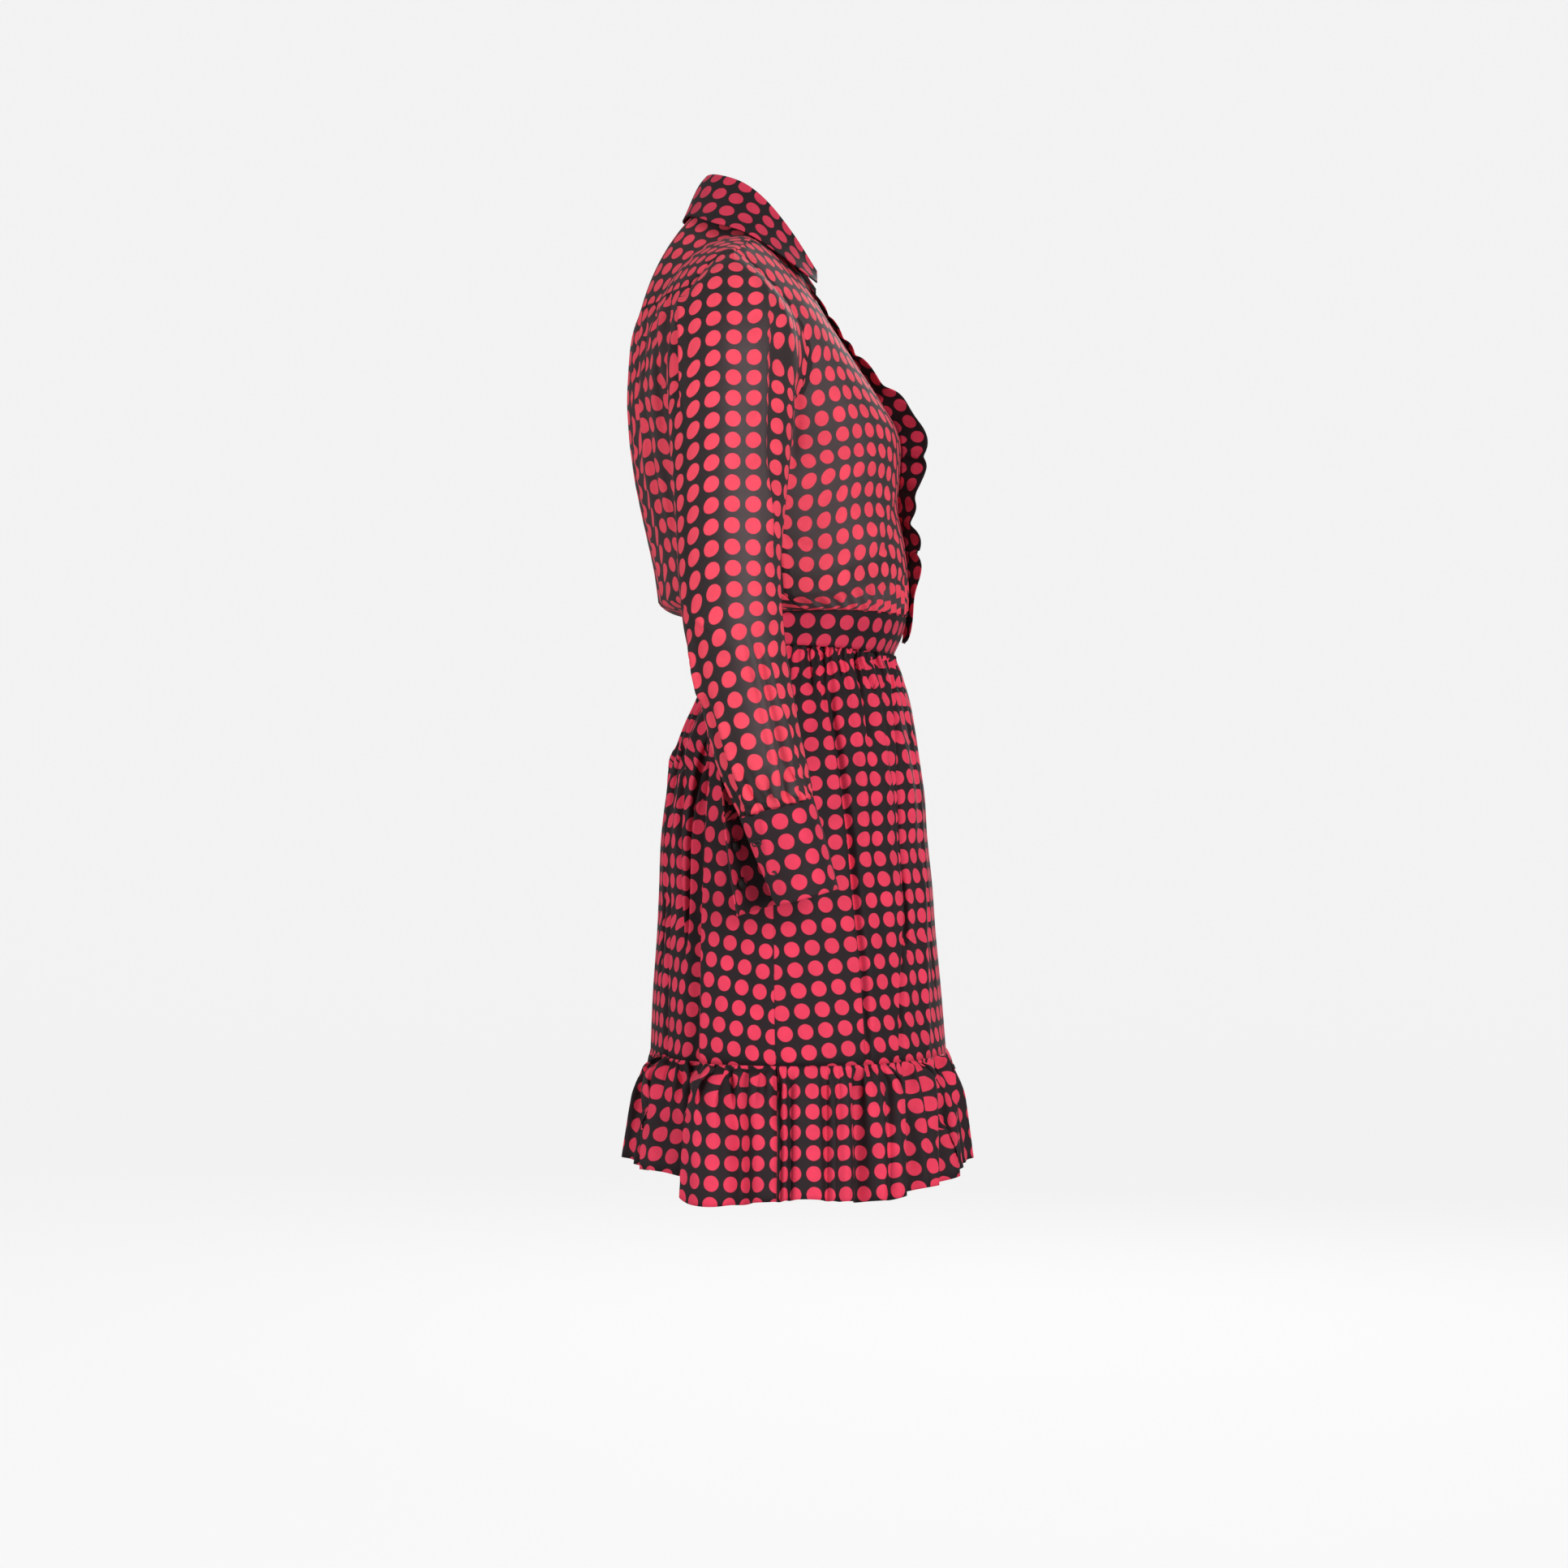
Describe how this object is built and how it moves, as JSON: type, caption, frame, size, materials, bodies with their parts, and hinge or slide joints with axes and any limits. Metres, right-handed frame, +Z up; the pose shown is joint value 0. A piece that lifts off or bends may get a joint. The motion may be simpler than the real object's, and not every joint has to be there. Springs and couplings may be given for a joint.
{
  "type": "shirt dress",
  "caption": "Polka dot mini shirt dress with long sleeves, a deep V neckline edged with ruffles, a waistband and a gathered hem flounce, in its worn form.",
  "frame": {"origin": "inside the neck on the centre line, level with the tops of the shoulders, where the wearer's shoulders hold the dress up", "axes": "+Z up, -Y towards the front of the dress, +X towards the wearer's left"},
  "size_m": [0.5562, 0.3155, 0.9057],
  "materials": {
    "sheer_crepe": "matte, half sheer, black with rose-red dots",
    "crepe": "matte, black with rose-red dots",
    "covered_button": "matte, cloth over a domed mould"
  },
  "bodies": {
    "root": {"collar": "crepe", "back_yoke": "sheer_crepe", "back_bodice": "sheer_crepe", "front_right": "sheer_crepe", "front_left": "sheer_crepe", "sleeve_right": "sheer_crepe", "sleeve_left": "sheer_crepe", "cuff_right": "crepe", "cuff_left": "crepe", "cuff_button_right_1": "covered_button", "cuff_button_right_2": "covered_button", "cuff_button_left_1": "covered_button", "cuff_button_left_2": "covered_button", "ruffle_right": "crepe", "ruffle_left": "crepe", "waistband": "crepe", "skirt_front": "crepe", "skirt_back": "crepe", "flounce_front": "crepe", "flounce_back": "crepe"}
  },
  "joints": []
}
